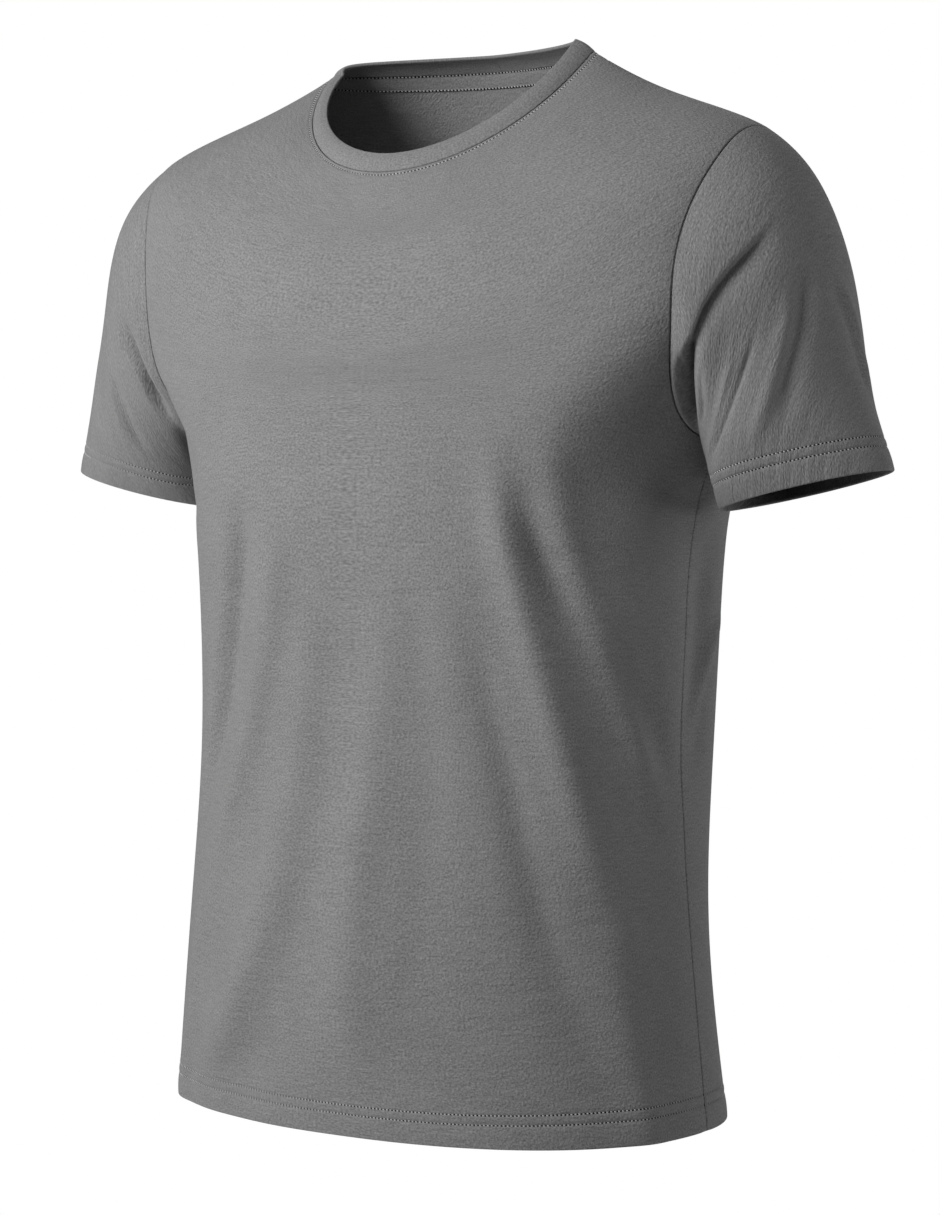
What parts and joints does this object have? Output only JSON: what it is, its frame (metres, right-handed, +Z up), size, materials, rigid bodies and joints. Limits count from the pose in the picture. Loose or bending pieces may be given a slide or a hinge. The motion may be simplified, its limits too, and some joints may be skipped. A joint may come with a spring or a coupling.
{
  "type": "crew neck t-shirt",
  "caption": "Short-sleeved crew neck T-shirt in plain jersey, filled out as worn, open at neck, hem and both cuffs, with a rib neckband.",
  "frame": {"origin": "between the two points where the shoulder seams meet the neck seam, in the middle of the neck opening", "axes": "+Z up along the wearer, -Y the way the wearer faces, +X to the wearer's left"},
  "size_m": [0.6578, 0.2901, 0.7294],
  "materials": {
    "jersey": "matt single jersey knit, mid grey",
    "rib": "matt fine rib knit, mid grey",
    "tape": "matt jersey tape, mid grey"
  },
  "bodies": {
    "root": {"front": "jersey", "back": "jersey", "sleeve_left": "jersey", "sleeve_right": "jersey", "neckband": "rib", "neck_tape": "tape"}
  },
  "joints": []
}
